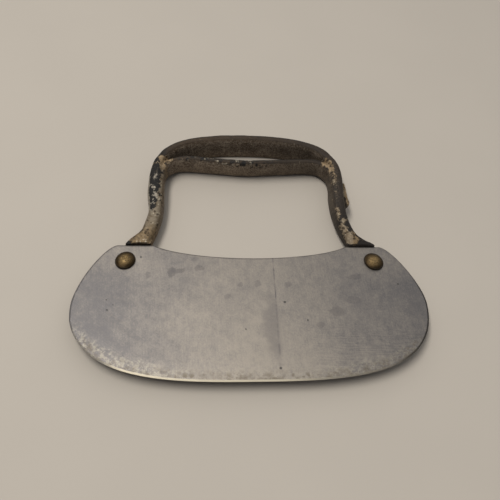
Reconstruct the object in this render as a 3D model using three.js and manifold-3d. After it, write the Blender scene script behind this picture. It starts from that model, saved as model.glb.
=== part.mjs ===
import * as THREE from "three";
import { mergeVertices } from "three/addons/utils/BufferGeometryUtils.js";
import Module from "manifold-3d";

// Mezzaluna lying on its back: a steel blade riveted to a one-piece cast loop handle.
// Millimetres. +X runs along the blade, +Y from the cutting edge to the grip, +Z up from the table.
// The origin is on the table, under the middle of the object.

// Blade outline
const bladeWidth = 162.4;
const bladeHeight = 68.2; // ear tops to cutting edge
const widestRise = 36.6; // widest line above the cutting edge
const edgeRun = 37; // how far the edge runs nearly straight from its middle
const sidePull = 9; // how long the side stays upright above its widest line
const earWidth = 34.9; // from the side to the hollow between the ears
const earRound = 18.2; // from the side to the flat top of the ear
const earLead = 4.6; // how far the flat top leads on into that rounding
const hollowDepth = 6.9;
const hollowFlare = 3.7; // how far the hollow's ellipse runs on past the ears

// Blade section
const bladeThickness = 1.5;
const grindWidth = 9; // ground band along the cutting edge
const grindReach = 36; // height above the cutting edge where the ground band runs out
const edgeThickness = 0.3;
const edgeBreak = 0.25; // broken corners of the other edges

// Rivets
const rivetInset = 22.1; // in from the blade's side
const rivetDrop = 8.9; // below the ear tops
const shankDiameter = 5;
const headDiameter = 9.3;
const headRim = 0.5;
const headRise = 2.2;
const tailDiameter = 9;
const tailFlat = 6;
const tailRise = 2.5;
const rivetClearance = 0.2;

// Handle: lugs and shoulders
const lugDiameter = 15;
const lugNeck = 13; // foot's width where it reaches the rivet
const lugThickness = 3.5;
const shoulderRise = 2.4; // above the blade's front face
const shoulderGap = 0.3; // between the shoulder and the ear top
const shoulderOut = 7.2; // foot's middle outside the leg's middle
const shoulderWidth = 11;
const ankleRise = 7.6;
const ankleOut = 2.5;
const ankleWidth = 6.6;

// Handle: legs at the ends of the hollow, and grip, with heights above the ear tops
const legWidth = 7.8;
const waistRise = 17;
const waistWidth = 6.6;
const kneeRise = 31;
const springRise = 37.7; // where the arch starts to bend
const handleRise = 68.4; // crown of the arch
const archThickness = 5.4;
const archSquareness = 2.6; // 2 is a plain ellipse
const gripDepth = 13.5;
const barRise = 51.4;
const barDip = 2.3;
const barBend = 10;
const barThickness = 4;
const barInset = 1.5; // finger bar's edges inside the arch's edges
const restDepth = 0.6; // ground off the back of the casting, so that it lies flat
const sectionSquareness = 3;

// Casting flash left on the outside of the right leg
const flashRise = 23.2;
const flashLength = 18;
const flashReach = 2.3;
const flashThickness = 0.8;

// Facets
const curveSteps = 24;
const loopSides = 20;
const loopSteps = 84;
const barSteps = 40;
const archSteps = 5;
const bendSteps = 3;
const roundSides = 28;
const domeSteps = 5;
const mergeTolerance = 1e-4;

// Places worked out from the sizes above
const sideX = bladeWidth / 2;
const hollowX = sideX - earWidth;
const rivetX = sideX - rivetInset;
const legX = hollowX;
const archX = legX + (legWidth - archThickness) / 2;
const barX = legX - (legWidth - barThickness) / 2;
const earY = (bladeHeight - handleRise) / 2;
const edgeY = earY - bladeHeight;
const widestY = edgeY + widestRise;
const lugBack = tailRise;
const seatZ = lugBack + lugThickness;
const frontZ = seatZ + bladeThickness;
const shoulderZ = frontZ + shoulderRise;
const rivetY = earY - rivetDrop;
const holeRadius = shankDiameter / 2 + rivetClearance;

const wasm = await Module();
wasm.setup();

function toSolid(geometry) {
  const bare = geometry.clone();
  bare.deleteAttribute("normal");
  bare.deleteAttribute("uv");
  const merged = mergeVertices(bare, mergeTolerance);
  const vertProperties = Float32Array.from(merged.attributes.position.array);
  const triVerts = Uint32Array.from(merged.index.array);
  return new wasm.Manifold(new wasm.Mesh({ numProp: 3, vertProperties, triVerts }));
}

function toGeometry(solid) {
  const { vertProperties, triVerts } = solid.getMesh();
  const geometry = new THREE.BufferGeometry();
  geometry.setAttribute("position", new THREE.BufferAttribute(vertProperties, 3));
  geometry.setIndex(new THREE.BufferAttribute(triVerts, 1));
  geometry.computeVertexNormals();
  return geometry;
}

// An upright cylinder between two heights
function post(radius, x, y, low, high) {
  const geometry = new THREE.CylinderGeometry(radius, radius, high - low, roundSides);
  geometry.rotateX(Math.PI / 2);
  return geometry.translate(x, y, (low + high) / 2);
}

// A box between two corners
function block(low, high) {
  const size = new THREE.Vector3().subVectors(high, low);
  const middle = new THREE.Vector3().addVectors(low, high).multiplyScalar(0.5);
  return new THREE.BoxGeometry(size.x, size.y, size.z).translate(middle.x, middle.y, middle.z);
}

// Counter-clockwise from the middle of the cutting edge
function bladeOutline() {
  const earX = sideX - earRound;
  const hollowRadius = hollowX + hollowFlare;
  const cut = Math.acos(hollowX / hollowRadius);
  const hollowDrop = hollowDepth / (1 - Math.sin(cut));
  const hollowY = earY - hollowDepth + hollowDrop;
  const outline = new THREE.Shape();
  outline.moveTo(0, edgeY);
  outline.bezierCurveTo(edgeRun, edgeY, sideX, edgeY, sideX, widestY);
  outline.bezierCurveTo(sideX, widestY + sidePull, earX + earLead, earY, earX, earY);
  outline.lineTo(hollowX, earY);
  outline.absellipse(0, hollowY, hollowRadius, hollowDrop, -cut, cut - Math.PI, true);
  outline.lineTo(-earX, earY);
  outline.bezierCurveTo(-earX - earLead, earY, -sideX, widestY + sidePull, -sideX, widestY);
  outline.bezierCurveTo(-sideX, edgeY, -edgeRun, edgeY, 0, edgeY);
  const points = outline.getPoints(curveSteps);
  const follows = (point, i) => point.distanceTo(points.at(i - 1)) > mergeTolerance;
  return points.filter(follows);
}

// A plate that thins to a ground edge along the bottom and has broken corners elsewhere
function plateGeometry() {
  const rim = bladeOutline();
  const count = rim.length;
  const upper = [];
  const lower = [];
  const inner = [];
  const middle = (seatZ + frontZ) / 2;
  rim.forEach((point, i) => {
    const along = new THREE.Vector2().subVectors(rim[(i + 1) % count], rim.at(i - 1)).normalize();
    const plain = THREE.MathUtils.smoothstep(point.y, edgeY, edgeY + grindReach);
    const band = THREE.MathUtils.lerp(grindWidth, edgeBreak, plain);
    const half = THREE.MathUtils.lerp(edgeThickness / 2, bladeThickness / 2 - edgeBreak, plain);
    upper.push([point.x, point.y, middle + half]);
    lower.push([point.x, point.y, middle - half]);
    inner.push(new THREE.Vector2(point.x - along.y * band, point.y + along.x * band));
  });
  const front = inner.map((point) => [point.x, point.y, frontZ]);
  const back = inner.map((point) => [point.x, point.y, seatZ]);
  const rings = [back, lower, upper, front];
  const index = [];
  for (let ring = 0; ring < rings.length - 1; ring += 1) {
    for (let i = 0; i < count; i += 1) {
      const a = ring * count + i;
      const b = ring * count + ((i + 1) % count);
      index.push(a, b, b + count, a, b + count, a + count);
    }
  }
  const frontStart = (rings.length - 1) * count;
  for (const [a, b, c] of THREE.ShapeUtils.triangulateShape(inner, [])) {
    index.push(frontStart + a, frontStart + b, frontStart + c, a, c, b);
  }
  const geometry = new THREE.BufferGeometry();
  geometry.setAttribute("position", new THREE.Float32BufferAttribute(rings.flat(2), 3));
  geometry.setIndex(index);
  return geometry;
}

function bladeGeometry() {
  let solid = toSolid(plateGeometry());
  for (const side of [-1, 1]) {
    solid = solid.subtract(toSolid(post(holeRadius, side * rivetX, rivetY, 0, shoulderZ)));
  }
  return toGeometry(solid);
}

// Spread tail on the table, shank through the lug and the blade, domed head in front
function rivetGeometry() {
  const headRadius = headDiameter / 2;
  const dome = headRise - headRim;
  const profile = [
    new THREE.Vector2(0, 0),
    new THREE.Vector2(tailFlat / 2, 0),
    new THREE.Vector2(tailDiameter / 2, tailRise / 2),
    new THREE.Vector2(tailDiameter / 2, tailRise),
    new THREE.Vector2(shankDiameter / 2, tailRise),
    new THREE.Vector2(shankDiameter / 2, frontZ),
    new THREE.Vector2(headRadius, frontZ),
  ];
  for (let step = 0; step < domeSteps; step += 1) {
    const turn = (step / domeSteps) * (Math.PI / 2);
    const height = frontZ + headRim + dome * Math.sin(turn);
    profile.push(new THREE.Vector2(headRadius * Math.cos(turn), height));
  }
  profile.push(new THREE.Vector2(0, frontZ + headRise));
  return new THREE.LatheGeometry(profile, roundSides).rotateX(Math.PI / 2);
}

function squared(value, squareness) {
  return Math.sign(value) * Math.abs(value) ** (2 / squareness);
}

// Sweeps a rounded section of changing width and depth along a flat curve through the stations
function sweep(stations, steps) {
  const line = new THREE.CatmullRomCurve3(stations.map((s) => new THREE.Vector3(s.x, s.y, 0)));
  const size = new THREE.CatmullRomCurve3(
    stations.map((s) => new THREE.Vector3(s.width / 2, s.back, s.front)),
  );
  const geometry = new THREE.CylinderGeometry(1, 1, 1, loopSides, steps);
  const place = geometry.attributes.position;
  for (let i = 0; i < place.count; i += 1) {
    const t = place.getY(i) + 0.5;
    const centre = line.getPoint(t);
    const along = line.getTangent(t);
    const { x: half, y: back, z: front } = size.getPoint(t);
    const across = half * squared(place.getX(i), sectionSquareness);
    const up = ((front - back) / 2) * squared(place.getZ(i), sectionSquareness);
    place.setXYZ(i, centre.x + along.y * across, centre.y - along.x * across, (front + back) / 2 + up);
  }
  return geometry;
}

// Stations of the right half, followed by the same ones mirrored
function bothSides(stations) {
  const mirrored = stations.map((s) => ({ ...s, x: -s.x })).reverse();
  return [...stations, ...mirrored.slice(stations.at(-1).x === 0 ? 1 : 0)];
}

// The casting deepens evenly from the shoulder to the arch
function legStation(out, rise, width) {
  const share = rise / springRise;
  const back = THREE.MathUtils.lerp(lugBack, -restDepth, share);
  const front = THREE.MathUtils.lerp(shoulderZ, gripDepth, share);
  return { x: legX + out, y: earY + rise, width, back, front };
}

// Lug, foot, leg, palm arch and back down the other side
function loopStations() {
  const stations = [
    { x: rivetX, y: rivetY, width: lugNeck, back: lugBack, front: shoulderZ },
    legStation(shoulderOut, 0, shoulderWidth),
    legStation(ankleOut, ankleRise, ankleWidth),
    legStation(0, waistRise, waistWidth),
    legStation(0, kneeRise, legWidth),
  ];
  const archRise = handleRise - archThickness / 2 - springRise;
  for (let step = 1; step <= archSteps; step += 1) {
    const turn = (step / archSteps) * (Math.PI / 2);
    stations.push({
      x: step < archSteps ? archX * squared(Math.cos(turn), archSquareness) : 0,
      y: earY + springRise + archRise * squared(Math.sin(turn), archSquareness),
      width: archThickness,
      back: -restDepth,
      front: gripDepth,
    });
  }
  return bothSides(stations);
}

// Up inside the leg, round a bend and across, dipping in the middle
function barStations() {
  const depth = { width: barThickness, back: barInset, front: gripDepth - barInset };
  const bendX = barX - barBend;
  const bendY = earY + barRise - barBend;
  const stations = [{ x: barX, y: earY + kneeRise, ...depth }];
  for (let step = 0; step <= bendSteps; step += 1) {
    const turn = (step / bendSteps) * (Math.PI / 2);
    stations.push({ x: bendX + barBend * Math.cos(turn), y: bendY + barBend * Math.sin(turn), ...depth });
  }
  for (const share of [0.5, 0]) {
    const dip = (barDip * (1 + Math.cos(Math.PI * share))) / 2;
    stations.push({ x: bendX * share, y: earY + barRise - dip, ...depth });
  }
  return bothSides(stations);
}

// A thin hooked fin, rooted in the leg at the mould's parting plane
function flashGeometry() {
  const root = legX;
  const face = legX + legWidth / 2;
  const low = earY + flashRise;
  const outline = new THREE.Shape();
  outline.moveTo(root, low);
  outline.lineTo(face, low);
  outline.quadraticCurveTo(face + flashReach, low + flashReach, face + flashReach / 2, low + 2 * flashReach);
  outline.lineTo(face - flashThickness, low + flashLength);
  outline.lineTo(root, low + flashLength);
  const plate = { depth: flashThickness, bevelEnabled: false, curveSegments: bendSteps };
  return new THREE.ExtrudeGeometry(outline, plate).translate(0, 0, (gripDepth - flashThickness) / 2);
}

function handleGeometry() {
  const reach = Math.ceil(bladeWidth + handleRise); // whole, so that the cut faces land exactly
  const table = block(new THREE.Vector3(-reach, -reach, -reach), new THREE.Vector3(reach, reach, 0));
  const seatTop = earY + shoulderGap;
  const seat = block(new THREE.Vector3(-reach, -reach, seatZ), new THREE.Vector3(reach, seatTop, reach));
  let solid = toSolid(sweep(loopStations(), loopSteps));
  solid = solid.add(toSolid(sweep(barStations(), barSteps)));
  solid = solid.add(toSolid(flashGeometry()));
  for (const side of [-1, 1]) {
    solid = solid.add(toSolid(post(lugDiameter / 2, side * rivetX, rivetY, lugBack, seatZ)));
  }
  solid = solid.subtract(toSolid(seat)).subtract(toSolid(table));
  for (const side of [-1, 1]) {
    solid = solid.subtract(toSolid(post(holeRadius, side * rivetX, rivetY, 0, shoulderZ)));
  }
  return toGeometry(solid);
}

function mesh(name, geometry, material) {
  const piece = new THREE.Mesh(geometry, material);
  piece.name = name;
  return piece;
}

const steel = new THREE.MeshStandardMaterial({ color: 0x97908a, roughness: 0.42, metalness: 0.9 });
const iron = new THREE.MeshStandardMaterial({ color: 0x453a31, roughness: 0.6, metalness: 0.6 });
const brass = new THREE.MeshStandardMaterial({ color: 0x8a6c3c, roughness: 0.4, metalness: 0.9 });

const group = new THREE.Group();
group.add(mesh("blade", bladeGeometry(), steel));
group.add(mesh("handle", handleGeometry(), iron));
for (const [name, side] of [["rivet_left", -1], ["rivet_right", 1]]) {
  const rivet = mesh(name, rivetGeometry(), brass);
  rivet.position.set(side * rivetX, rivetY, 0);
  group.add(rivet);
}

export default group;
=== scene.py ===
import math
import random

import bmesh
import bpy
from mathutils import Matrix, Vector, geometry, kdtree, noise


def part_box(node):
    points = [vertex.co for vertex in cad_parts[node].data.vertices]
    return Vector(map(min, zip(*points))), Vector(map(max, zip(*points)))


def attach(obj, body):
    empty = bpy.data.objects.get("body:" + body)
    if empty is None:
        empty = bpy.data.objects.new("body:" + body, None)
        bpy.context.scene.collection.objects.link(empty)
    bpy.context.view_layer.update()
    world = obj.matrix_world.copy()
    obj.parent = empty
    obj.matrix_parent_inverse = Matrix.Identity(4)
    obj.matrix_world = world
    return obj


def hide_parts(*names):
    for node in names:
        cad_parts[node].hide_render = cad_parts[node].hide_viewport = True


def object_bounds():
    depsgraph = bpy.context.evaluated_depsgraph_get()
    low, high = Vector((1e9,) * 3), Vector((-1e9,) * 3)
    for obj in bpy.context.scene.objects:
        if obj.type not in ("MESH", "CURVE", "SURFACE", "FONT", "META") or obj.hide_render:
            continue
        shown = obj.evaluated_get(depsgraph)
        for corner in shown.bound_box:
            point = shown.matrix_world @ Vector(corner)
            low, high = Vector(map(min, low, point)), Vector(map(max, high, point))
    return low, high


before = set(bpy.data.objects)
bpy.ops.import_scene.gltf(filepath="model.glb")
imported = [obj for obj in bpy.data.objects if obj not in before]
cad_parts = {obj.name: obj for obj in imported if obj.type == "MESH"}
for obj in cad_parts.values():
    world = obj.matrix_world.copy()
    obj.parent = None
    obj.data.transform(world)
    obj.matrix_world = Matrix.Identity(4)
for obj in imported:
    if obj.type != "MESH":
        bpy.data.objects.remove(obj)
cadLow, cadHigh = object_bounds()
mm = 0.001
sameSpot = 0.002 * mm  # points closer than this become one
print("frame:", ", ".join(sorted(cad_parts)))


# Pieces

def makePiece(name, bm, node, material):
    mesh = bpy.data.meshes.new(name)
    bm.to_mesh(mesh)
    bm.free()
    mesh.materials.append(material)
    mesh.shade_smooth()
    piece = bpy.data.objects.new(name, mesh)
    bpy.context.scene.collection.objects.link(piece)
    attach(piece, "root")
    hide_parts(node)
    print("piece:", name, len(mesh.polygons), "faces")
    return piece


def easeBetween(low, high, value):
    share = min(max((value - low) / (high - low), 0.0), 1.0)
    return share * share * (3 - 2 * share)


# Shader nodes

def setInputs(tree, node, values):
    for key, value in values.items():
        if isinstance(value, bpy.types.NodeSocket):
            tree.links.new(value, node.inputs[key])
        else:
            node.inputs[key].default_value = value


def addNode(tree, kind, values=None, **settings):
    node = tree.nodes.new(kind)
    for key, value in settings.items():
        setattr(node, key, value)
    setInputs(tree, node, values or {})
    return node


def maths(tree, operation, first, second=0.0):
    values = {0: first, 1: second}
    return addNode(tree, "ShaderNodeMath", values, operation=operation).outputs[0]


def combine(tree, operation, total, *others):
    for other in others:
        total = maths(tree, operation, total, other)
    return total


def times(tree, *parts):
    return combine(tree, "MULTIPLY", *parts)


def plus(tree, *parts):
    return combine(tree, "ADD", *parts)


def most(tree, *parts):
    return combine(tree, "MAXIMUM", *parts)


def minus(tree, first, second):
    return maths(tree, "SUBTRACT", first, second)


def vectors(tree, operation, first, second=(0.0, 0.0, 0.0)):
    values = {0: first, 1: second}
    return addNode(tree, "ShaderNodeVectorMath", values, operation=operation).outputs["Vector"]


def rise(tree, value, low, high, bottom=0.0, top=1.0):
    values = {"Value": value, "From Min": low, "From Max": high, "To Min": bottom, "To Max": top}
    return addNode(tree, "ShaderNodeMapRange", values, interpolation_type="SMOOTHSTEP").outputs["Result"]


def mixColour(tree, factor, first, second):
    values = {0: factor, 6: first, 7: second}
    return addNode(tree, "ShaderNodeMix", values, data_type="RGBA").outputs[2]


def mixValue(tree, factor, first, second):
    return addNode(tree, "ShaderNodeMix", {0: factor, 2: first, 3: second}).outputs[0]


def clouds(tree, vector, size, detail=2.0, roughness=0.5):
    values = {"Vector": vector, "Scale": 1 / size, "Detail": detail, "Roughness": roughness}
    return addNode(tree, "ShaderNodeTexNoise", values).outputs


def warp(tree, vector, size, amount):
    push = vectors(tree, "SUBTRACT", clouds(tree, vector, size)["Color"], (0.5, 0.5, 0.5))
    return vectors(tree, "ADD", vector, vectors(tree, "MULTIPLY", push, (2 * amount,) * 3))


def useGroup(tree, name, **values):
    node = addNode(tree, "ShaderNodeGroup", node_tree=bpy.data.node_groups[name])
    setInputs(tree, node, values)
    return node.outputs[0]


def newGroup(name, output, **inputs):
    tree = bpy.data.node_groups.new(name, "ShaderNodeTree")
    for label, kind in inputs.items():
        tree.interface.new_socket(label, in_out="INPUT", socket_type="NodeSocket" + kind)
    tree.interface.new_socket(output, in_out="OUTPUT", socket_type="NodeSocketFloat")
    start = tree.nodes.new("NodeGroupInput").outputs
    end = tree.nodes.new("NodeGroupOutput").inputs[output]
    return tree, start, end


def patchGroup():
    # A round patch with a soft edge
    tree, start, end = newGroup(
        "patch", "Mask", Vector="Vector", Middle="Vector", Reach="Vector", Soft="Float")
    offset = vectors(tree, "SUBTRACT", start["Vector"], start["Middle"])
    away = vectors(tree, "DIVIDE", offset, start["Reach"])
    length = addNode(tree, "ShaderNodeVectorMath", {0: away}, operation="LENGTH").outputs["Value"]
    inside = minus(tree, 1.0, start["Soft"])
    tree.links.new(rise(tree, length, 1.0, inside), end)


def scratchGroup():
    # Fine marks along one direction, as from rubbing and honing
    tree, start, end = newGroup(
        "scratches", "Marks", Vector="Vector", Turn="Float", Across="Float", Along="Float")
    values = {"Vector": start["Vector"], "Angle": start["Turn"]}
    turned = addNode(tree, "ShaderNodeVectorRotate", values, rotation_type="Z_AXIS").outputs["Vector"]
    values = {"X": start["Along"], "Y": start["Across"], "Z": start["Across"]}
    widths = addNode(tree, "ShaderNodeCombineXYZ", values).outputs["Vector"]
    drawn = clouds(tree, vectors(tree, "DIVIDE", turned, widths), 1.0, 3.0, 0.6)["Fac"]
    tree.links.new(rise(tree, drawn, 0.36, 0.7), end)


def speckGroup():
    # Scattered small spots of uneven size
    tree, start, end = newGroup(
        "specks", "Mask", Vector="Vector", Spacing="Float", Size="Float", Share="Float")
    values = {"Vector": start["Vector"], "Scale": maths(tree, "DIVIDE", 1.0, start["Spacing"])}
    cells = addNode(tree, "ShaderNodeTexVoronoi", values).outputs
    chance = addNode(tree, "ShaderNodeSeparateColor", {"Color": cells["Color"]}).outputs
    reach = times(tree, start["Size"], plus(tree, chance["Green"], 0.35))
    spot = rise(tree, cells["Distance"], reach, times(tree, reach, 0.5))
    kept = maths(tree, "LESS_THAN", chance["Red"], start["Share"])
    tree.links.new(times(tree, spot, kept), end)


def patchAt(tree, vector, shape, soft):
    # shape holds the middle's x, y and z, then the reach along each
    return useGroup(tree, "patch", Vector=vector, Middle=shape[:3], Reach=shape[3:], Soft=soft)


def scratchesAt(tree, vector, turn, across, along):
    return useGroup(tree, "scratches", Vector=vector, Turn=turn, Across=across, Along=along)


def specksAt(tree, vector, spacing, size, share):
    return useGroup(tree, "specks", Vector=vector, Spacing=spacing, Size=size, Share=share)


def newMaterial(name):
    material = bpy.data.materials.new(name)
    material.use_nodes = True
    tree = material.node_tree
    coordinates = addNode(tree, "ShaderNodeTexCoord").outputs["Object"]
    place = vectors(tree, "MULTIPLY", coordinates, (1 / mm,) * 3)  # patterns are sized in millimetres
    return material, tree, place


def finishMaterial(tree, colour, roughness, metallic, height, relief):
    # relief is the height of the surface detail, in metres
    shader = tree.nodes["Principled BSDF"]
    bump = addNode(tree, "ShaderNodeBump", {"Height": height, "Strength": 1.0, "Distance": relief})
    values = {"Base Color": colour, "Roughness": roughness, "Metallic": metallic}
    setInputs(tree, shader, {**values, "Normal": bump.outputs["Normal"]})
    return shader


patchGroup()
scratchGroup()
speckGroup()
print("shader groups:", ", ".join(group.name for group in bpy.data.node_groups))


# Blade

blade = {
    "widestRise": 36.6 * mm,  # widest line above the cutting edge
    "edgeRun": 37 * mm,
    "sidePull": 10.9 * mm,
    "earWidth": 34.9 * mm,
    "earRound": 18.2 * mm,
    "earLead": 5.6 * mm,
    "hollowDepth": 6.9 * mm,
    "hollowFlare": 3.7 * mm,
    "holeRadius": 2.7 * mm,
    "grindWidth": 9 * mm,  # long convex grind
    "grindReach": 36 * mm,  # height where the grind runs out
    "bevelWidth": 0.75 * mm,  # honed bevel
    "bevelThickness": 0.8 * mm,
    "edgeThickness": 0.2 * mm,
    "edgeBreak": 0.25 * mm,  # broken corners elsewhere
    "waveHeight": 0.035 * mm,  # hand-flattened sheet
    "waveLength": 24 * mm,
    "swellX": (-66 * mm, -80 * mm),  # left end, a little fuller than the right
    "swellY": -41 * mm,
    "swellReach": 17 * mm,
    "swell": 0.7 * mm,
    "slice": 1.6 * mm,
    "sliceSnap": 0.01 * mm,
    "sliceMerge": 0.02 * mm,
    "rowSlant": 0.01,  # orders the points by x and then by y
    "sharpAngle": 9,
    "curveSteps": 40,
}
bladeLow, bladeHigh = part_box("blade")
rivetMiddles = {}
for side in ("left", "right"):
    rivetLow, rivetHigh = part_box("rivet_" + side)
    rivetMiddles[side] = (rivetLow + rivetHigh) / 2


def addSpline(curve, corners):
    # Each corner is its point, the handle before it and the handle after it, drawn in millimetres
    spline = curve.splines.new("BEZIER")
    spline.bezier_points.add(len(corners) - 1)
    for bend, corner in zip(spline.bezier_points, corners):
        point, before, after = (Vector((*part, 0)) / mm for part in corner)
        bend.handle_left_type = "FREE"
        bend.handle_right_type = "FREE"
        bend.co = point
        bend.handle_left = before
        bend.handle_right = after
    spline.use_cyclic_u = True
    spline.resolution_u = blade["curveSteps"]


def bladeCorners():
    sideX, earY, edgeY = bladeHigh.x, bladeHigh.y, bladeLow.y
    widestY = edgeY + blade["widestRise"]
    earX = sideX - blade["earRound"]
    hollowX = sideX - blade["earWidth"]
    lowY = earY - blade["hollowDepth"]
    radius = hollowX + blade["hollowFlare"]
    cut = math.acos(hollowX / radius)
    drop = blade["hollowDepth"] / (1 - math.sin(cut))
    pull = 4 / 3 * math.tan((math.pi / 2 - cut) / 4)
    into = (hollowX - pull * radius * math.sin(cut), earY - pull * drop * math.cos(cut))
    third = (earX - hollowX) / 3
    right = [
        ((sideX, widestY), (sideX, edgeY), (sideX, widestY + blade["sidePull"])),
        ((earX, earY), (earX + blade["earLead"], earY), (earX - third, earY)),
        ((hollowX, earY), (hollowX + third, earY), into),
    ]
    left = [[(-x, y) for x, y in (point, after, before)] for point, before, after in reversed(right)]
    edge = ((0, edgeY), (-blade["edgeRun"], edgeY), (blade["edgeRun"], edgeY))
    dip = ((0, lowY), (pull * radius, lowY), (-pull * radius, lowY))
    return [edge, *right, dip, *left]


def holeCorners(middle):
    radius = blade["holeRadius"]
    pull = radius * 4 / 3 * math.tan(math.pi / 8)
    corners = []
    for quarter in range(4):
        turn = Matrix.Rotation(quarter * math.pi / 2, 2)
        shape = (Vector((radius, 0)), Vector((radius, -pull)), Vector((radius, pull)))
        corners.append([turn @ point + middle.xy for point in shape])
    return corners


def pullRimIn(bm, width):
    # A new rim is extruded in place, and the old one moves into the sheet
    rim = [e for e in bm.edges if e.is_boundary]
    inward = {}
    for edge in rim:
        loop = edge.link_loops[0]
        along = loop.link_loop_next.vert.co - loop.vert.co
        for v in edge.verts:
            inward[v] = inward.get(v, Vector()) + loop.face.normal.cross(along).normalized()
    bmesh.ops.extrude_edge_only(bm, edges=rim)
    for v, way in inward.items():
        v.co += way.normalized() * width


def bladeSheet():
    curve = bpy.data.curves.new("blade_outline", "CURVE")
    curve.dimensions = "2D"
    curve.fill_mode = "FRONT"
    addSpline(curve, bladeCorners())
    for middle in rivetMiddles.values():
        addSpline(curve, holeCorners(middle))
    drawing = bpy.data.objects.new("blade_outline", curve)
    flat = bpy.data.meshes.new_from_object(drawing)
    bm = bmesh.new()
    bm.from_mesh(flat)
    bpy.data.objects.remove(drawing)
    bpy.data.curves.remove(curve)
    bpy.data.meshes.remove(flat)
    bmesh.ops.remove_doubles(bm, verts=bm.verts, dist=sameSpot / mm)
    middle = set(bm.faces)
    pullRimIn(bm, blade["bevelWidth"] / mm)
    pullRimIn(bm, blade["edgeBreak"] / mm)
    inner = [e for e in bm.edges if len(middle.intersection(e.link_faces)) == 1]
    bmesh.ops.delete(bm, geom=list(middle), context="FACES")
    bmesh.ops.triangle_fill(bm, edges=inner, use_beauty=True, normal=(0, 0, 1))
    bmesh.ops.scale(bm, vec=(mm, mm, mm), verts=bm.verts)
    return bm


def rimFinder(bm):
    # Distance from the outline, found on its nearest stretches
    rim = [v for v in bm.verts if v.is_boundary]
    finder = kdtree.KDTree(len(rim))
    for i, v in enumerate(rim):
        finder.insert(v.co, i)
    finder.balance()
    stretches = [
        [(v.co.copy(), e.other_vert(v).co.copy()) for e in v.link_edges if e.is_boundary] for v in rim
    ]

    def distance(point):
        _, nearest, found = finder.find(point)
        for first, second in stretches[nearest]:
            spot, share = geometry.intersect_point_line(point, first, second)
            if 0 < share < 1:
                found = min(found, (spot - point).length)
        return found

    return distance


def halfThickness(away, plain):
    full = (bladeHigh.z - bladeLow.z) / 2
    broken = full - max(blade["edgeBreak"] - away, 0)
    edge = blade["edgeThickness"] / 2
    bevel = blade["bevelThickness"] / 2
    width = blade["bevelWidth"]
    if away < width:
        ground = edge + (bevel - edge) * away / width
    else:
        left = max(1 - (away - width) / (blade["grindWidth"] - width), 0)
        ground = full - (full - bevel) * left * left
    return ground + (broken - ground) * plain


def sliceSheet(bm):
    # Even strips both ways, so that the sheet can bend
    for axis in (Vector((1, 0, 0)), Vector((0, 1, 0))):
        first = math.ceil(bladeLow.dot(axis) / blade["slice"])
        last = math.floor(bladeHigh.dot(axis) / blade["slice"])
        for step in range(first, last + 1):
            everything = bm.verts[:] + bm.edges[:] + bm.faces[:]
            cut = axis * step * blade["slice"]
            bmesh.ops.bisect_plane(
                bm, geom=everything, dist=blade["sliceSnap"], plane_co=cut, plane_no=axis)
    bm.verts.sort(key=lambda v: v.co.x + blade["rowSlant"] * v.co.y)  # the same order in each run
    bmesh.ops.remove_doubles(bm, verts=bm.verts, dist=blade["sliceMerge"])


def makeBlade(material):
    bm = bladeSheet()
    awayFromRim = rimFinder(bm)
    sliceSheet(bm)

    # The front is ground towards the edge, and mirrored to make the back
    border = bm.verts.layers.float.new("rimDistance")
    for v in bm.verts:
        away = awayFromRim(v.co)
        v[border] = away / mm
        plain = easeBetween(bladeLow.y, bladeLow.y + blade["grindReach"], v.co.y)
        v.co.z = halfThickness(away, plain)
    sides = bmesh.ops.extrude_edge_only(bm, edges=[e for e in bm.edges if e.is_boundary])["geom"]
    for v in sides:
        if isinstance(v, bmesh.types.BMVert):
            v.co.z = 0
    everything = bm.verts[:] + bm.edges[:] + bm.faces[:]
    bmesh.ops.mirror(bm, geom=everything, axis="Z", merge_dist=sameSpot)
    bmesh.ops.recalc_face_normals(bm, faces=bm.faces)
    for v in bm.verts:
        v.co.z += (bladeLow.z + bladeHigh.z) / 2
        v.co.z += blade["waveHeight"] * noise.noise(v.co.xy.to_3d() / blade["waveLength"])
        atEnd = easeBetween(*blade["swellX"], v.co.x)
        atEnd *= easeBetween(blade["swellReach"], 0, abs(v.co.y - blade["swellY"]))
        v.co.x -= blade["swell"] * atEnd
    piece = makePiece("chopping_blade", bm, "blade", material)
    piece.data.set_sharp_from_angle(angle=math.radians(blade["sharpAngle"]))


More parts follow.
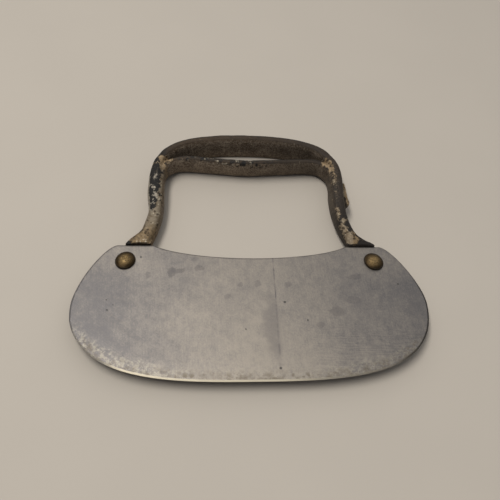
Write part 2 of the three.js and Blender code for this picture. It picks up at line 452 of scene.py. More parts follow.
steel = {
    "dark": (0.14, 0.133, 0.134, 1),
    "light": (0.308, 0.276, 0.236, 1),
    "stain": (0.12, 0.111, 0.113, 1),
    "worn": (0.42, 0.385, 0.31, 1),
    # bevel: fresh honed metal, lightened further as a painted highlight
    "bevel": (0.67, 0.605, 0.47, 1),
    "grime": (0.115, 0.09, 0.058, 1),
    "pitAndShade": (0.03, 0.026, 0.022, 1),
    "roughness": (0.46, 0.6),
    "relief": 0.012 * mm,
    "patchDepth": 1.3,  # how far behind the front a patch reaches
    # rubbing marks: turn in radians, width, length
    "grain": {
        "upright": (1.5, 0.45, 10.0),
        "level": (0.12, 0.2, 9.0),
        "slant": (0.6, 0.16, 14.0),
        "drawn": (0.05, 0.5, 9.0),
    },
    # clouds in the tone: size, detail, roughness, weight
    "clouds": {
        "fine": (0.7, 4.0, 0.75, 0.85),
        "blotchy": (3.4, 4.0, 0.65, 0.6),
        "broad": (24.0, 3.0, 0.55, 0.45),
    },
    "cloudStretch": (1.0, 0.8, 1.0),
    "rubbedWeight": 0.08,
    "toneRange": (0.4, 1.4),  # from dark to light steel
    # painted shade and painted reflection along an axis, partly a real haze at the right end: start, end,
    # change
    "paintedReflectionAndHaze": (
        ("X", -5.0, 85.0, -0.4),
        ("X", -15.0, -75.0, -0.42),
        ("Y", -20.0, -58.0, 0.16),
    ),
    # parts of the sheet: start and end along x, start and end along y
    "lowLeft": (-5.0, -35.0, -35.0, -52.0),
    "lowRight": (12.0, 42.0, -38.0, -50.0),
    "ears": (38.0, 55.0, -24.0, -8.0),
    "rightSide": (58.0, 70.0, -14.0, -26.0),
    # painted shade that darkens the low left of the sheet
    "lowLeftPaintedShade": -0.14,
    "earsTone": 0.2,
    "drawnTone": 0.22,  # level scratches low on the right
    "drawnMiddle": 0.65,
    # middle x and y, reach x and y, depth
    "stains": (
        (-37.4, -15.2, 2.6, 2.9, 0.75),
        (-33.4, -13.9, 2.8, 1.9, 0.7),
        (-24.4, -12.7, 3.2, 1.9, 0.65),
        (-48.3, -16.8, 2.0, 2.2, 0.5),
        (-26.8, -7.9, 2.4, 1.5, 0.45),
        (2.0, -20.7, 2.0, 2.1, 0.5),
        (-5.5, -21.5, 1.5, 1.7, 0.4),
        (16.9, -21.8, 2.1, 1.6, 0.4),
        (37.8, -35.3, 4.2, 3.3, 0.6),
        (48.8, -17.3, 4.6, 1.7, 0.45),
        (29.4, -42.2, 2.6, 1.6, 0.4),
        (-12.0, -28.0, 2.4, 1.5, 0.3),
        (46.0, -29.5, 5.0, 2.4, 0.3),
    ),
    # middle x and y, radius
    "pits": (
        (14.3, -30.7, 0.75),
        (24.1, -39.9, 0.5),
        (-4.1, -44.2, 0.45),
        (-65.3, -34.6, 0.5),
        (-62.9, -32.1, 0.4),
        (10.2, -62.6, 0.7),
        (69.1, -21.1, 0.6),
        (-66.0, -29.5, 0.4),
        (-52.0, -6.8, 0.5),
    ),
    # a dark line down the sheet, with a smudge beside it
    "lineX": 10.3,
    "lineWander": 1.2,
    "lineTop": (-6.5, -7.5),
    "lineBottom": (-66.0, -60.0),
    "lineSpread": (-28.0, -42.0),
    "lineWidths": (0.5, 1.3),
    "lineFade": (1.0, 0.75),
    "smudge": (9.4, -43.0, 8.0, 21.0),
    # wear along the cutting edge
    "lowY": (-44.0, -56.0),
    "lowRise": (-58.0, -76.0, 0.0, 5.0),  # higher up towards the left end
    "wornReach": 13.0,
    "wornLeft": (-18.0, -52.0, 0.12, 0.42),  # start and end along x, share at each
    "wornRight": (12.0, 44.0, 0.0, 0.2),
    "grimeReach": (6.0, 1.5),
    "grimeDepth": 0.6,
    "grimeSpecks": (2.4, 0.5, 0.5),  # spacing, size, share
    # where the painted highlight on the honed bevel fades, along x
    "honedGlintLeft": (-68.0, -54.0, 0.1, 1.0),
    "honedGlintRight": (5.0, 40.0, 1.0, 0.25),
    "shadedDepth": 0.7,  # painted shade on the bevel that faces away from the light
}


def frontPatch(tree, vector, shape, soft):
    # shape holds the middle and the reach along x and y
    x, y, reachX, reachY = shape
    return patchAt(tree, vector, (x, y, bladeHigh.z / mm, reachX, reachY, steel["patchDepth"]), soft)


def frontPatches(tree, vector, shapes, soft):
    # The strongest of several patches
    masks = [times(tree, frontPatch(tree, vector, shape, soft), depth) for *shape, depth in shapes]
    return most(tree, *masks)


def sheetPart(tree, x, y, part):
    startX, endX, startY, endY = steel[part]
    return times(tree, rise(tree, x, startX, endX), rise(tree, y, startY, endY))


def steelTone(tree, place, x, y):
    # Rubbed grain and clouds; both ends of the blade darkened with painted shade (at the right end partly
    # a real haze), the lower part brightened as a painted reflection, and the low left darkened with
    # painted shade
    marks = {}
    for name, shape in steel["grain"].items():
        marks[name] = scratchesAt(tree, place, *shape)
    rubbed = plus(tree, marks["upright"], times(tree, marks["level"], 0.35))
    tone = times(tree, rubbed, steel["rubbedWeight"])
    stretched = vectors(tree, "MULTIPLY", warp(tree, place, 6.0, 0.8), steel["cloudStretch"])
    cloudy = {}
    for name, (size, detail, roughness, weight) in steel["clouds"].items():
        base = place if name == "broad" else stretched
        cloudy[name] = clouds(tree, base, size, detail, roughness)["Fac"]
        tone = plus(tree, tone, times(tree, cloudy[name], weight))
    # painted shade and painted reflection along x and y
    for axis, start, end, change in steel["paintedReflectionAndHaze"]:
        tone = plus(tree, tone, rise(tree, x if axis == "X" else y, start, end, 0.0, change))
    drawn = times(tree, minus(tree, marks["drawn"], steel["drawnMiddle"]), steel["drawnTone"])
    # painted shade on the low left, level scratches low on the right, a lighter tone at the ears
    tone = plus(
        tree, tone,
        times(tree, sheetPart(tree, x, y, "lowLeft"), steel["lowLeftPaintedShade"]),
        times(tree, sheetPart(tree, x, y, "lowRight"), drawn),
        times(tree, sheetPart(tree, maths(tree, "ABSOLUTE", x), y, "ears"), steel["earsTone"]))
    return tone, rubbed, marks["slant"], cloudy


def darkLine(tree, place, x, y, blotchy):
    # A broken line, with a smudge that runs down against it
    wander = times(tree, clouds(tree, place, 16.0)["Fac"], steel["lineWander"])
    past = minus(tree, plus(tree, x, wander), steel["lineX"] + steel["lineWander"] / 2)
    width = rise(tree, y, *steel["lineSpread"], *steel["lineWidths"])
    gaps = clouds(tree, vectors(tree, "MULTIPLY", place, (0.0, 1.0, 0.0)), 8.0, 3.0, 0.6)["Fac"]
    line = times(
        tree, rise(tree, maths(tree, "ABSOLUTE", past), width, 0.0),
        rise(tree, y, *steel["lineTop"]),
        rise(tree, y, *steel["lineBottom"]),
        rise(tree, gaps, 0.38, 0.58, 0.2, 0.9),
        rise(tree, y, *steel["lineSpread"], *steel["lineFade"]))
    smudge = times(
        tree, frontPatch(tree, warp(tree, place, 7.0, 2.0), steel["smudge"], 0.6),
        rise(tree, past, 2.2, -0.6, 0.1, 0.46),
        rise(tree, blotchy, 0.3, 0.6, 0.7, 1.0))
    return most(tree, smudge, line)


def bladeSteel():
    material, tree, place = newMaterial("worn_blade_steel")
    split = addNode(tree, "ShaderNodeSeparateXYZ", {"Vector": place}).outputs
    x, y = split["X"], split["Y"]
    rim = addNode(tree, "ShaderNodeAttribute", attribute_name="rimDistance").outputs["Fac"]
    tone, rubbed, slant, cloudy = steelTone(tree, place, x, y)
    colour = mixColour(tree, rise(tree, tone, *steel["toneRange"]), steel["dark"], steel["light"])

    ragged = warp(tree, warp(tree, place, 5.0, 1.4), 1.6, 0.7)
    stained = frontPatches(tree, ragged, steel["stains"], 0.35)
    dried = times(tree, stained, rise(tree, stained, 0.3, 0.6, 1.0, 0.6))  # darker outlines
    colour = mixColour(tree, dried, colour, steel["stain"])
    colour = mixColour(tree, darkLine(tree, place, x, y, cloudy["blotchy"]), colour, steel["stain"])

    # Flaky bright wear low on the left, grime along the edge, and a honed bevel lightened as fresh metal
    # and as a painted highlight
    low = rise(tree, minus(tree, y, rise(tree, x, *steel["lowRise"])), *steel["lowY"])
    reached = times(tree, clouds(tree, place, 7.0, 4.0, 0.65)["Fac"], -steel["wornReach"])
    worn = times(
        tree, rise(tree, plus(tree, rim, reached), 0.5, -3.0), low,
        rise(tree, clouds(tree, place, 1.6, 4.0, 0.7)["Fac"], 0.44, 0.58),
        plus(tree, rise(tree, x, *steel["wornLeft"]), rise(tree, x, *steel["wornRight"])))
    colour = mixColour(tree, worn, colour, steel["worn"])
    spotted = specksAt(tree, ragged, *steel["grimeSpecks"])
    smeared = rise(tree, clouds(tree, place, 3.0, 4.0, 0.7)["Fac"], 0.4, 0.7)
    byEdge = times(tree, rise(tree, rim, *steel["grimeReach"]), low, steel["grimeDepth"])
    grimy = times(tree, most(tree, spotted, smeared), byEdge)
    colour = mixColour(tree, grimy, colour, steel["grime"])
    bevel = blade["bevelWidth"] / mm
    honedGlint = times(
        tree, rise(tree, rim, bevel + 0.1, bevel - 0.1), low,
        rise(tree, x, *steel["honedGlintRight"]),
        rise(tree, x, *steel["honedGlintLeft"]))
    colour = mixColour(tree, honedGlint, colour, steel["bevel"])
    # Painted shade on the bevel at the right side, in the colour of the pits
    shaded = times(
        tree, rise(tree, rim, bevel + 0.2, bevel - 0.2),
        sheetPart(tree, x, y, "rightSide"), steel["shadedDepth"])
    colour = mixColour(tree, shaded, colour, steel["pitAndShade"])
    holes = [(*spot, radius, radius, 1.0) for *spot, radius in steel["pits"]]
    pits = frontPatches(tree, warp(tree, place, 0.7, 0.3), holes, 0.35)
    colour = mixColour(tree, times(tree, pits, 0.85), colour, steel["pitAndShade"])

    dull = most(tree, times(tree, plus(tree, slant, cloudy["fine"]), 0.5), stained, worn)
    roughness = rise(tree, dull, 0.0, 1.0, *steel["roughness"])
    height = minus(tree, plus(tree, times(tree, rubbed, 0.25), slant), times(tree, pits, 4.0))
    metallic = minus(tree, 1.0, most(tree, pits, times(tree, grimy, 0.5)))
    finishMaterial(tree, colour, roughness, metallic, height, steel["relief"])
    return material


makeBlade(bladeSteel())


# Handle

handle = {
    "voxel": 0.4 * mm,
    "smoothing": 5,
    "softness": 0.5,
    "lumpHeight": 0.16 * mm,  # uneven casting
    "lumpSize": 7 * mm,
    "grainHeight": 0.05 * mm,  # sand-cast skin
    "grainSize": 1.5 * mm,
    # Where the casting strays from its even plan, in millimetres.
    # Each pair is where a change starts and where it is full.
    "bar": {  # sprung up and forward, less at its right end
        "y": 50,
        "reach": (5, 3),
        "ends": (40, 30),
        "right": (40, 5),
        "up": 0.4,
        "forward": 0.5,
    },
    "barBack": {  # close to the table and leaning up
        "low": (42, 45),
        "high": (55, 53),
        "ends": (41, 34),
        "z": (7, 2),
        "lean": 0.95,
        "drop": 1.2,
    },
    "archBack": {  # thicker inner back edge
        "low": (54, 56),
        "high": (68, 62),
        "ends": (36, 28),
        "sag": 0.6,
    },
    "shoulders": {  # fuller than the plan
        "y": (52, 58),
        "upX": (15, 36),
        "up": (0.24, 0.6),
        "outX": (25, 45),
        "out": 0.42,
    },
    "leftLeg": {"x": (-46, -48), "y": 36, "reach": (22, 0), "swell": 0.7},
    "leftFoot": {"x": (-46, -50), "y": 12.5, "reach": (9, 0), "swell": 0.8},
    "feet": {"y": (5, 0.4), "z": (8.2, 9.2), "slope": 0.9},  # thinner towards their front edges
    "rightLeg": {  # tucked in, and more on its outside
        "x": (34, 38),
        "y": 29,
        "reach": (14, 0),
        "tuck": 0.45,
        "outerX": (44, 49),
        "outerTuck": 0.5,
    },
    "toe": {"x": (53, 60), "low": (-0.6, 0.2), "high": (6, 2), "out": 1.5},  # tip of the right foot
    "toeTop": {"x": (48, 54), "low": (0.5, 4), "high": (16, 8), "thin": 1.0},
    "fin": {  # casting fin outside the right leg, drawn out more towards its top
        "x": (49.5, 50),
        "low": (22, 24),
        "high": (41, 38),
        "z": 6.75,
        "reach": (1.0, 0.4),
        "out": (0.4, 0.8),
        "forward": 2.3,
    },
}


def between(part, value):
    # Full between the lower and the upper limit of a part
    return easeBetween(*part["low"], value) * easeBetween(*part["high"], value)


def around(part, value):
    # Full at the middle line of a part
    return easeBetween(*part["reach"], abs(value - part["y"]))


def unevenCasting(place):
    x, y, z = place / mm
    aside = abs(x)
    push = Vector((0, 0, 0))

    bar = handle["bar"]
    onBar = around(bar, y) * easeBetween(*bar["ends"], aside) * easeBetween(*bar["right"], x)
    deep = easeBetween(0, cadHigh.z / mm, z)
    push.y += bar["up"] * onBar
    push.z += bar["forward"] * onBar * deep
    back = handle["barBack"]
    under = between(back, y) * easeBetween(*back["ends"], aside) * easeBetween(*back["z"], z)
    push.y += back["lean"] * under
    push.z -= back["drop"] * under
    arch = handle["archBack"]
    push.y -= arch["sag"] * between(arch, y) * easeBetween(*arch["ends"], aside) * (1 - deep)
    shoulders = handle["shoulders"]
    crown = easeBetween(*shoulders["y"], y)
    middle, end = shoulders["up"]
    push.y += crown * (middle + (end - middle) * easeBetween(*shoulders["upX"], aside))
    push.x += crown * shoulders["out"] * easeBetween(*shoulders["outX"], aside) * math.copysign(1, x)

    for part in (handle["leftLeg"], handle["leftFoot"]):
        push.x -= part["swell"] * easeBetween(*part["x"], x) * around(part, y)
    feet = handle["feet"]
    push.z -= feet["slope"] * easeBetween(*feet["y"], y) * easeBetween(*feet["z"], z)
    toe = handle["toe"]
    push.x += toe["out"] * easeBetween(*toe["x"], x) * between(toe, y)
    toeTop = handle["toeTop"]
    push.y -= toeTop["thin"] * easeBetween(*toeTop["x"], x) * between(toeTop, y)

    fin = handle["fin"]
    onFin = easeBetween(*fin["x"], x) * easeBetween(*fin["reach"], abs(z - fin["z"])) * between(fin, y)
    bottom, top = fin["out"]
    share = easeBetween(fin["low"][1], fin["high"][1], y)
    push.x += onFin * (bottom + (top - bottom) * share)
    push.z += onFin * fin["forward"]
    leg = handle["rightLeg"]
    tucked = easeBetween(*leg["x"], x) * around(leg, y)
    outer = easeBetween(*leg["outerX"], x) * (1 - onFin)
    push.x -= tucked * (leg["tuck"] + leg["outerTuck"] * outer)
    return push * mm


def makeHandle(material):
    bm = bmesh.new()
    bm.from_mesh(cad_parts["handle"].data)
    bmesh.ops.remove_doubles(bm, verts=bm.verts, dist=sameSpot)
    rough = bpy.data.meshes.new("handle_rough")
    bm.to_mesh(rough)
    bm.free()
    blank = bpy.data.objects.new("handle_rough", rough)
    bpy.context.scene.collection.objects.link(blank)
    skin = blank.modifiers.new("skin", "REMESH")
    skin.mode = "VOXEL"
    skin.voxel_size = handle["voxel"]
    finished = blank.evaluated_get(bpy.context.evaluated_depsgraph_get())
    cast = bpy.data.meshes.new_from_object(finished)
    bpy.data.objects.remove(blank)
    bpy.data.meshes.remove(rough)
    bm = bmesh.new()
    bm.from_mesh(cast)
    bpy.data.meshes.remove(cast)

    # The thin fin isn't smoothed
    finX = handle["fin"]["x"][1] * mm
    finY = handle["fin"]["low"][0] * mm
    soft = [v for v in bm.verts if v.co.x < finX or v.co.y < finY]
    axes = {"use_axis_x": True, "use_axis_y": True, "use_axis_z": True}
    for _ in range(handle["smoothing"]):
        bmesh.ops.smooth_vert(bm, verts=soft, factor=handle["softness"], **axes)
    bm.normal_update()
    for v in bm.verts:
        lump = handle["lumpHeight"] * noise.noise(v.co / handle["lumpSize"])
        grain = handle["grainHeight"] * noise.noise(v.co / handle["grainSize"])
        v.co += v.normal * (lump + grain) + unevenCasting(v.co)
        v.co.z = max(v.co.z, 0.0)
    makePiece("cast_handle", bm, "handle", material)


japan = {
    "black": (0.013, 0.0115, 0.0105, 1),
    "brown": (0.092, 0.062, 0.038, 1),
    "tan": (0.285, 0.228, 0.168, 1),
    # front: painted shade on the upward faces of the old coat, and the colour of pits
    "front": (0.042, 0.0285, 0.018, 1),
    "bare": (0.2, 0.165, 0.12, 1),
    "pale": (0.42, 0.368, 0.28, 1),
    "rust": (0.1, 0.067, 0.035, 1),
    "gold": (0.37, 0.26, 0.145, 1),
    "ochre": (0.22, 0.152, 0.078, 1),
    "silver": (0.35, 0.32, 0.27, 1),
    # middle x, y and z, reach x, y and z, amount
    "bareSpots": (
        (-46.5, 12.0, 8.0, 10.0, 30.0, 18.0, 1.1),
        (-41.8, 32.0, 7.0, 6.0, 23.0, 18.0, 1.1),
        (-51.5, 1.5, 8.5, 10.0, 9.0, 8.0, 1.2),
        (-42.4, 49.8, 12.4, 6.4, 4.0, 5.0, 1.06),
        (-44.0, 45.5, 12.4, 2.6, 6.0, 5.0, 1.0),
        (41.6, 49.4, 12.5, 4.2, 4.8, 5.5, 1.05),
        (43.8, 44.0, 12.5, 3.4, 7.0, 6.0, 0.64),
        (44.6, 34.0, 12.5, 2.4, 16.0, 5.0, 0.5),
        (44.2, 18.0, 11.0, 2.6, 9.0, 5.0, 0.66),
        (46.2, 9.5, 10.5, 3.6, 8.5, 5.0, 0.78),
        (49.0, 3.0, 9.5, 6.8, 6.4, 5.0, 1.05),
        (52.0, 31.0, 8.9, 3.4, 16.0, 4.2, 1.5),
    ),
    "paintSpots": (
        (-48.6, 36.0, 11.0, 4.8, 26.0, 12.0, 0.38),
        (-48.2, 54.0, 11.0, 5.2, 8.0, 9.0, 0.2),
    ),
    "ridge": (-3.0, 49.8, 12.2, 46.0, 3.2, 3.4),
    "blots": (
        (1.0, 48.0, 11.8, 17.0, 2.2, 3.4),
        (-24.0, 51.0, 12.0, 17.0, 1.6, 3.4),
    ),
    "footEdge": (-52.5, 0.8, 9.9, 8.0, 1.7, 2.6),
    # thin brown streak down the right leg
    "streak": (44.6, 36.0, 12.0, 4.2, 22.0, 6.0),
    "relief": 0.08 * mm,
    "roughness": (0.5, 0.68),
    "metallic": 0.4,
    "specular": 0.2,
    "flakeDepth": 3.0,
    "chipped": (0.44, 0.56),  # bareness at which the coat comes off
    "edgeWear": (0.54, 0.62, 0.08, 0.35),
    # spacing, size and share of specks
    "knockedSpecks": (1.3, 0.5, 0.5),
    "blackSpecks": (1.9, 0.8, 0.75),
    "rubbedSpecks": (1.1, 0.5, 0.35),
    "brightSpecks": (1.4, 0.5, 0.65),
    "pitSpecks": (1.8, 0.5),
    "pitShare": (0.35, 0.25),  # everywhere, and more at the bare corners
    # start and end along an axis, with the amount at each where it isn't 0 and 1
    "outsideX": (-40.0, -44.0),
    "outsideY": (42.0, 36.0, 0.0, 0.75),
    "dustyY": (54.0, 52.0, 0.0, 0.03),
    "gripY": (34.0, 46.0),
    "legX": (25.0, 40.0),
    "legY": (12.0, 30.0, 0.25, 0.65),
    "thinRight": (-15.0, 42.0, 1.0, 0.56),
    "thinLeft": (-46.0, -38.0),
    "knockedX": (5.0, -1.0, 0.0, 0.8),
    "goldRightY": (36.0, 44.0, 0.2, 0.6),
    "goldLeftX": (-34.0, -40.0),
    "goldLeftY": (42.0, 47.0),
    "goldLeft": 0.65,
    "footY": (13.0, 5.0, 0.0, 0.8),
    "footX": (0.0, -20.0),
    "finX": (49.8, 50.6, 0.0, 0.7),
    # painted shadow on the feet's forward-facing shoulders, along y and along z
    "belowY": (3.0, 1.5),
    "belowZ": (9.5, 8.7, 0.0, 0.85),
}


def coatLoss(tree, place, ragged, x, y, facing):
    # How bare each place is, before the flakes are drawn
    sharp = addNode(tree, "ShaderNodeNewGeometry").outputs["Pointiness"]
    bareness = rise(tree, sharp, *japan["edgeWear"])
    painted = 0.0
    for *shape, amount in japan["bareSpots"]:
        bareness = most(tree, bareness, times(tree, patchAt(tree, ragged, shape, 0.85), amount))
    for *shape, amount in japan["paintSpots"]:
        spot = patchAt(tree, ragged, shape, 0.4)
        bareness = mixValue(tree, spot, bareness, amount)
        painted = most(tree, painted, spot)
    outside = times(
        tree, rise(tree, facing["X"], -0.66, -0.84),
        rise(tree, x, *japan["outsideX"]),
        rise(tree, y, *japan["outsideY"]))
    bareness = most(tree, bareness, outside)
    flakes = clouds(tree, warp(tree, place, 1.3, 0.45), 3.0, 7.0, 0.76)["Fac"]
    chipped = plus(tree, bareness, times(tree, minus(tree, flakes, 0.5), japan["flakeDepth"]))
    return rise(tree, chipped, *japan["chipped"]), painted, flakes


def oldCoat(tree, place, ragged, x, y, facing, speckle, flakes):
    # Brown and dusty inside the grip and on the right leg, and black elsewhere
    patchy = clouds(tree, place, 6.0, 4.0, 0.6)["Fac"]
    dusty = plus(
        tree, speckle, times(tree, minus(tree, patchy, 0.5), 0.3),
        rise(tree, y, *japan["dustyY"]))
    old = mixColour(tree, rise(tree, dusty, 0.4, 0.64), japan["brown"], japan["tan"])
    # Painted shade: faces that look up are darkened with the front colour
    front = mixColour(tree, rise(tree, dusty, 0.42, 0.62, 0.0, 0.5), japan["front"], japan["brown"])
    old = mixColour(tree, rise(tree, facing["Z"], 0.3, 0.85), old, front)
    streak = patchAt(tree, ragged, japan["streak"], 0.7)
    streak = times(tree, streak, rise(tree, speckle, 0.42, 0.66, 0.0, 0.45))
    old = mixColour(tree, streak, old, japan["tan"])
    grip = times(tree, rise(tree, y, *japan["gripY"]), rise(tree, facing["Y"], 0.5, 0.0))
    leg = times(tree, rise(tree, x, *japan["legX"]), rise(tree, y, *japan["legY"]))
    thin = times(
        tree, most(tree, grip, leg),
        rise(tree, patchy, 0.3, 0.55, 0.82, 1.0),
        rise(tree, x, *japan["thinRight"]),
        rise(tree, x, *japan["thinLeft"]))
    coat = mixColour(tree, thin, japan["black"], old)

    # Black flakes and bright specks along the finger bar's front ridge
    ridge = patchAt(tree, ragged, japan["ridge"], 0.85)
    blotted = times(tree, ridge, rise(tree, flakes, 0.46, 0.54, 0.0, 0.8))
    coat = mixColour(tree, blotted, coat, japan["black"])
    black = specksAt(tree, ragged, *japan["blackSpecks"])
    for shape in japan["blots"]:
        coat = mixColour(tree, times(tree, patchAt(tree, place, shape, 0.5), black), coat, japan["black"])
    knocked = specksAt(tree, ragged, *japan["knockedSpecks"])
    knocked = times(tree, ridge, knocked, rise(tree, x, *japan["knockedX"]))
    return mixColour(tree, knocked, coat, japan["pale"])


def bareIron(tree, place, ragged, split, facing, painted):
    # Rust in its pores, pale rubbed specks, and a rust-brown tint that is partly painted shade on the
    # sides facing right
    x, y = split["X"], split["Y"]
    mottled = clouds(tree, place, 2.2, 5.0, 0.68)["Fac"]
    metal = mixColour(tree, rise(tree, mottled, 0.5, 0.7), japan["bare"], japan["rust"])
    rubbed = most(tree, specksAt(tree, ragged, *japan["rubbedSpecks"]), rise(tree, mottled, 0.42, 0.3))
    metal = mixColour(tree, times(tree, rubbed, 0.7), metal, japan["pale"])
    metal = mixColour(tree, rise(tree, painted, 0.6, 1.0, 0.0, 0.6), metal, japan["silver"])
    # partly a rust tint and partly painted shade on the sides that face right
    metal = mixColour(tree, rise(tree, facing["X"], 0.35, 0.9, 0.0, 0.5), metal, japan["rust"])

    # Golden corners, and ochre on the left foot and outside the right leg
    onRight = rise(tree, x, *japan["legX"])
    onLeft = times(tree, rise(tree, x, *japan["goldLeftX"]), rise(tree, y, *japan["goldLeftY"]))
    golden = most(
        tree, times(tree, onRight, rise(tree, y, *japan["goldRightY"])),
        times(tree, onLeft, japan["goldLeft"]))
    pores = clouds(tree, place, 1.2, 5.0, 0.7)["Fac"]
    gilded = mixColour(tree, rise(tree, pores, 0.48, 0.66), japan["gold"], japan["rust"])
    metal = mixColour(tree, golden, metal, gilded)
    ochre = mixColour(tree, rise(tree, pores, 0.42, 0.62), japan["ochre"], japan["rust"])
    foot = times(tree, rise(tree, y, *japan["footY"]), rise(tree, x, *japan["footX"]))
    foot = most(tree, foot, rise(tree, x, *japan["finX"]))
    metal = mixColour(tree, foot, metal, ochre)

    # Bright specks at the feet's front edges, and painted shadow on the forward-facing shoulder faces
    # just above the blade
    edge = patchAt(tree, place, japan["footEdge"], 0.4)
    bright = specksAt(tree, ragged, *japan["brightSpecks"])
    metal = mixColour(tree, times(tree, edge, bright), metal, japan["pale"])
    shadedShoulder = times(
        tree, rise(tree, facing["Y"], -0.45, -0.8),
        rise(tree, y, *japan["belowY"]),
        rise(tree, split["Z"], *japan["belowZ"]))
    metal = mixColour(tree, shadedShoulder, metal, japan["black"])
    everywhere, corners = japan["pitShare"]
    share = plus(tree, everywhere, times(tree, most(tree, onRight, onLeft), corners))
    pits = specksAt(tree, ragged, *japan["pitSpecks"], share)
    return mixColour(tree, times(tree, pits, 0.85), metal, japan["front"]), pits


def flakingJapan():
    material, tree, place = newMaterial("flaking_japan_iron")
    split = addNode(tree, "ShaderNodeSeparateXYZ", {"Vector": place}).outputs
    x, y = split["X"], split["Y"]
    normal = addNode(tree, "ShaderNodeTexCoord").outputs["Normal"]
    facing = addNode(tree, "ShaderNodeSeparateXYZ", {"Vector": normal}).outputs
    ragged = warp(tree, place, 4.0, 1.4)
    speckle = clouds(tree, place, 0.7, 4.0, 0.7)["Fac"]
    chipped, painted, flakes = coatLoss(tree, place, ragged, x, y, facing)
    coat = oldCoat(tree, place, ragged, x, y, facing, speckle, flakes)
    metal, pits = bareIron(tree, place, ragged, split, facing, painted)
    colour = mixColour(tree, chipped, coat, metal)
    roughness = rise(tree, speckle, 0.3, 0.7, *japan["roughness"])
    grainy = times(tree, clouds(tree, place, 0.6, 4.0, 0.6)["Fac"], 1.2)
    height = minus(tree, minus(tree, grainy, chipped), pits)
    metallic = times(tree, chipped, japan["metallic"])
    shader = finishMaterial(tree, colour, roughness, metallic, height, japan["relief"])
    shader.inputs["Specular IOR Level"].default_value = japan["specular"]
    return material


makeHandle(flakingJapan())


# Rivets

rivet = {
    "rim": 0.5 * mm,
    "footShare": 0.97,  # head's radius where it meets the blade
    "shankRadius": 2.5 * mm,
    "tailRadius": 4.5 * mm,
    "tailFlat": 3 * mm,
    "tailRise": 2.5 * mm,
    "tailCurve": ((0.93, 0.28), (1.0, 0.6), (1.0, 1.0)),  # shares of the tail's radius and rise
    "spinSteps": 80,
    "domeSteps": 20,
    "strikes": 13,  # hammer facets on the dome
    "strikeLean": 0.62,
    "strikeDepth": 0.13 * mm,
    "strikeShare": (0.4, 1.0),
    "longer": 1.06,  # spread unevenly by the hammer
    "narrower": 0.965,
    "turn": {"left": 50, "right": -50},
    "seed": {"left": 4, "right": 9},
    "slack": 0.01 * mm,
    "shankSlack": 1.01,
    "sharpAngle": 40,
}


def makeRivet(side, material):
    name = "rivet_" + side
    low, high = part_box(name)
    middle = rivetMiddles[side]
    frontZ = bladeHigh.z
    springZ = frontZ + rivet["rim"]
    radius = (high.x - low.x) / 2
    dome = high.z - frontZ - rivet["rim"]
    outline = [(0, 0), (rivet["tailFlat"], 0)]
    for across, up in rivet["tailCurve"]:
        outline.append((rivet["tailRadius"] * across, rivet["tailRise"] * up))
    outline.append((rivet["shankRadius"], rivet["tailRise"]))
    outline.append((rivet["shankRadius"], frontZ))
    outline.append((radius * rivet["footShare"], frontZ))
    for step in range(rivet["domeSteps"] + 1):
        turn = step / rivet["domeSteps"] * math.pi / 2
        outline.append((radius * math.cos(turn), springZ + dome * math.sin(turn)))
    bm = bmesh.new()
    chain = [bm.verts.new((r, 0, z)) for r, z in outline]
    edges = [bm.edges.new(pair) for pair in zip(chain, chain[1:])]
    bmesh.ops.spin(
        bm, geom=chain + edges, cent=(0, 0, 0), axis=(0, 0, 1), angle=math.tau,
        steps=rivet["spinSteps"], use_merge=True)
    bmesh.ops.remove_doubles(bm, verts=bm.verts, dist=sameSpot)
    bmesh.ops.recalc_face_normals(bm, faces=bm.faces)

    # Each hammer blow leaves a small flat
    chance = random.Random(rivet["seed"][side])
    head = [v for v in bm.verts if v.co.z > springZ - rivet["slack"]]
    for _ in range(rivet["strikes"]):
        lean = chance.uniform(0.0, rivet["strikeLean"])
        heading = chance.uniform(0, math.tau)
        across = math.sin(lean)
        blow = Vector((across * math.cos(heading), across * math.sin(heading), math.cos(lean)))
        crest = math.hypot(radius * across, dome * math.cos(lean))
        flat = crest - rivet["strikeDepth"] * chance.uniform(*rivet["strikeShare"])
        for v in head:
            proud = (v.co - Vector((0, 0, springZ))).dot(blow) - flat
            if proud > 0:
                v.co -= blow * proud
    spread = Matrix.Rotation(math.radians(rivet["turn"][side]), 2)
    stretch = spread @ Matrix.Diagonal((rivet["longer"], rivet["narrower"])) @ spread.transposed()
    shank = rivet["shankRadius"] * rivet["shankSlack"]
    for v in bm.verts:
        if v.co.z > frontZ - rivet["slack"] and v.co.xy.length > shank:
            v.co.xy = stretch @ v.co.xy
    bmesh.ops.translate(bm, verts=bm.verts, vec=(middle.x, middle.y, 0))
    piece = makePiece("peened_" + name, bm, name, material)
    piece.data.set_sharp_from_angle(angle=math.radians(rivet["sharpAngle"]))


brass = {
    "worn": (0.34, 0.235, 0.108, 1),
    "tarnish": (0.045, 0.03, 0.015, 1),
    "darkRimAndDirt": (0.026, 0.019, 0.011, 1),
    "rubbing": {"left": 0.75, "right": 1.25},
    "rubbedHighlightReach": (4.0, 0.8),  # distance from the rivet's middle
    "darkRimReach": (4.5, 5.8),
    "scratches": (0.5, 0.14, 2.2),  # turn in radians, width, length
    "crossing": (-0.7, 0.12, 1.6),
    "specks": (0.9, 0.4, 0.3),  # spacing, size, share
    "roughness": (0.62, 0.3),
    "relief": 0.03 * mm,
}


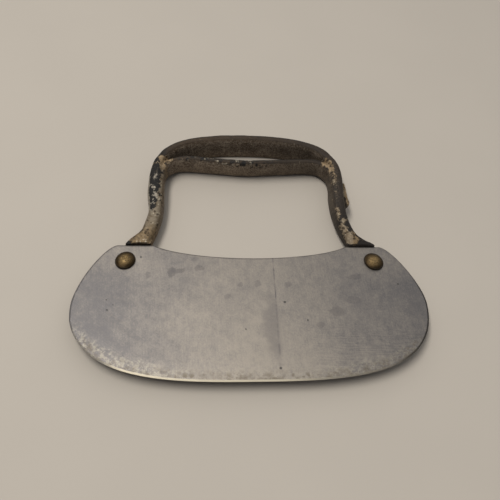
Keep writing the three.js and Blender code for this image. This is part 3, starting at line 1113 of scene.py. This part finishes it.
def tarnishedBrass(side):
    material, tree, place = newMaterial("tarnished_brass_" + side)
    middle = rivetMiddles[side] / mm
    offset = addNode(tree, "ShaderNodeMapping", {"Vector": place, "Location": (-middle.x, -middle.y, 0)})
    near = warp(tree, offset.outputs["Vector"], 1.6, 0.5)
    flat = vectors(tree, "MULTIPLY", near, (1, 1, 0))
    away = addNode(tree, "ShaderNodeVectorMath", {0: flat}, operation="LENGTH").outputs["Value"]
    marks = scratchesAt(tree, place, *brass["scratches"])
    cross = scratchesAt(tree, place, *brass["crossing"])
    mottled = clouds(tree, place, 0.9, 4.0, 0.65)["Fac"]
    # Worn brass on the crown of the dome, partly real rubbing and partly a painted highlight
    rubbed = times(
        tree, rise(tree, away, *brass["rubbedHighlightReach"]), most(tree, marks, cross),
        rise(tree, mottled, 0.3, 0.6, 0.4, 1.0), brass["rubbing"][side])
    colour = mixColour(tree, rubbed, brass["tarnish"], brass["worn"])
    # Darker towards the head's rim, with dark specks of dirt
    darkRimAndSpecks = rise(tree, plus(tree, away, times(tree, mottled, 1.2)), *brass["darkRimReach"])
    darkRimAndSpecks = most(tree, darkRimAndSpecks, times(tree, specksAt(tree, near, *brass["specks"]), 0.5))
    colour = mixColour(tree, darkRimAndSpecks, colour, brass["darkRimAndDirt"])
    roughness = rise(tree, minus(tree, rubbed, darkRimAndSpecks), -1.0, 1.0, *brass["roughness"])
    metallic = minus(tree, 1.0, times(tree, darkRimAndSpecks, 0.7))
    height = plus(tree, marks, times(tree, mottled, 2.0))
    finishMaterial(tree, colour, roughness, metallic, height, brass["relief"])
    return material


for side in ("left", "right"):
    makeRivet(side, tarnishedBrass(side))


# Stage

stage = {
    "floorSize": 1.5,
    "cloth": (0.5, 0.455, 0.395, 1),
    "weaveSize": 60.0,
    "weaveShade": 0.985,
    "clothRoughness": 0.95,
    "skyBright": (0.72, 0.71, 0.7, 1),  # towards the bright side of the room
    "skyDim": (0.095, 0.101, 0.12, 1),
    "skySide": (0.1, 0.75, 0.62),
    "skyFade": (-0.08, 1.0),
    # name: place, width, depth, colour, power
    "lamps": {
        "ceiling": ((-0.31, 0.05, 1.0), 0.26, 0.8, (1.0, 0.97, 0.92), 6.9),
        "front": ((-0.08, -0.4, 1.0), 0.6, 0.12, (1.0, 0.93, 0.8), 0.2),
    },
}
camera = {
    "aim": (-0.5 * mm, -2.45 * mm, 7.5 * mm),
    "distance": 286.9 * mm,
    "azimuth": -9.17,
    "elevation": 56.5,
    "roll": 8.06,
    "lens": 42.98,
    "near": 0.01,
}


def makeFloor():
    bm = bmesh.new()
    bmesh.ops.create_grid(bm, x_segments=2, y_segments=2, size=stage["floorSize"])
    mesh = bpy.data.meshes.new("floor")
    bm.to_mesh(mesh)
    bm.free()
    material, tree, place = newMaterial("pale_cloth")
    weave = clouds(tree, place, stage["weaveSize"])["Fac"]
    shade = tuple(channel * stage["weaveShade"] for channel in stage["cloth"][:3]) + (1,)
    colour = mixColour(tree, rise(tree, weave, 0.35, 0.65), shade, stage["cloth"])
    values = {"Base Color": colour, "Roughness": stage["clothRoughness"]}
    setInputs(tree, tree.nodes["Principled BSDF"], values)
    mesh.materials.append(material)
    floor = bpy.data.objects.new("floor", mesh)
    bpy.context.scene.collection.objects.link(floor)


def makeLamps():
    world = bpy.data.worlds.new("studio")
    world.use_nodes = True
    tree = world.node_tree
    sky = addNode(tree, "ShaderNodeTexCoord").outputs["Generated"]
    values = {0: sky, 1: Vector(stage["skySide"]).normalized()}
    towards = addNode(tree, "ShaderNodeVectorMath", values, operation="DOT_PRODUCT").outputs["Value"]
    colour = mixColour(tree, rise(tree, towards, *stage["skyFade"]), stage["skyDim"], stage["skyBright"])
    setInputs(tree, tree.nodes["Background"], {"Color": colour, "Strength": 1.0})
    bpy.context.scene.world = world
    for name, (place, width, depth, colour, power) in stage["lamps"].items():
        light = bpy.data.lights.new(name, "AREA")
        light.shape = "ELLIPSE"
        light.size = width
        light.size_y = depth
        light.color = colour
        light.energy = power
        lamp = bpy.data.objects.new(name, light)
        lamp.location = place
        towards = Vector(place).normalized()
        along = towards.cross(Vector((1, 0, 0))).normalized()
        lamp.rotation_euler = Matrix((along.cross(towards), along, towards)).transposed().to_euler()
        bpy.context.scene.collection.objects.link(lamp)


def makeCamera():
    lens = bpy.data.cameras.new("camera")
    lens.lens = camera["lens"]
    lens.clip_start = camera["near"]
    viewer = bpy.data.objects.new("camera", lens)
    azimuth = math.radians(camera["azimuth"])
    elevation = math.radians(camera["elevation"])
    level = math.cos(elevation)
    back = Vector((math.sin(azimuth) * level, -math.cos(azimuth) * level, math.sin(elevation)))
    viewer.rotation_mode = "QUATERNION"
    roll = Matrix.Rotation(math.radians(camera["roll"]), 3, "Z").to_quaternion()
    viewer.rotation_quaternion = (-back).to_track_quat("-Z", "Y") @ roll
    viewer.location = Vector(camera["aim"]) + back * camera["distance"]
    bpy.context.scene.collection.objects.link(viewer)
    bpy.context.scene.camera = viewer


makeFloor()
makeLamps()
makeCamera()
bpy.context.scene.view_settings.view_transform = "Standard"
print("stage: floor, lamps and camera")
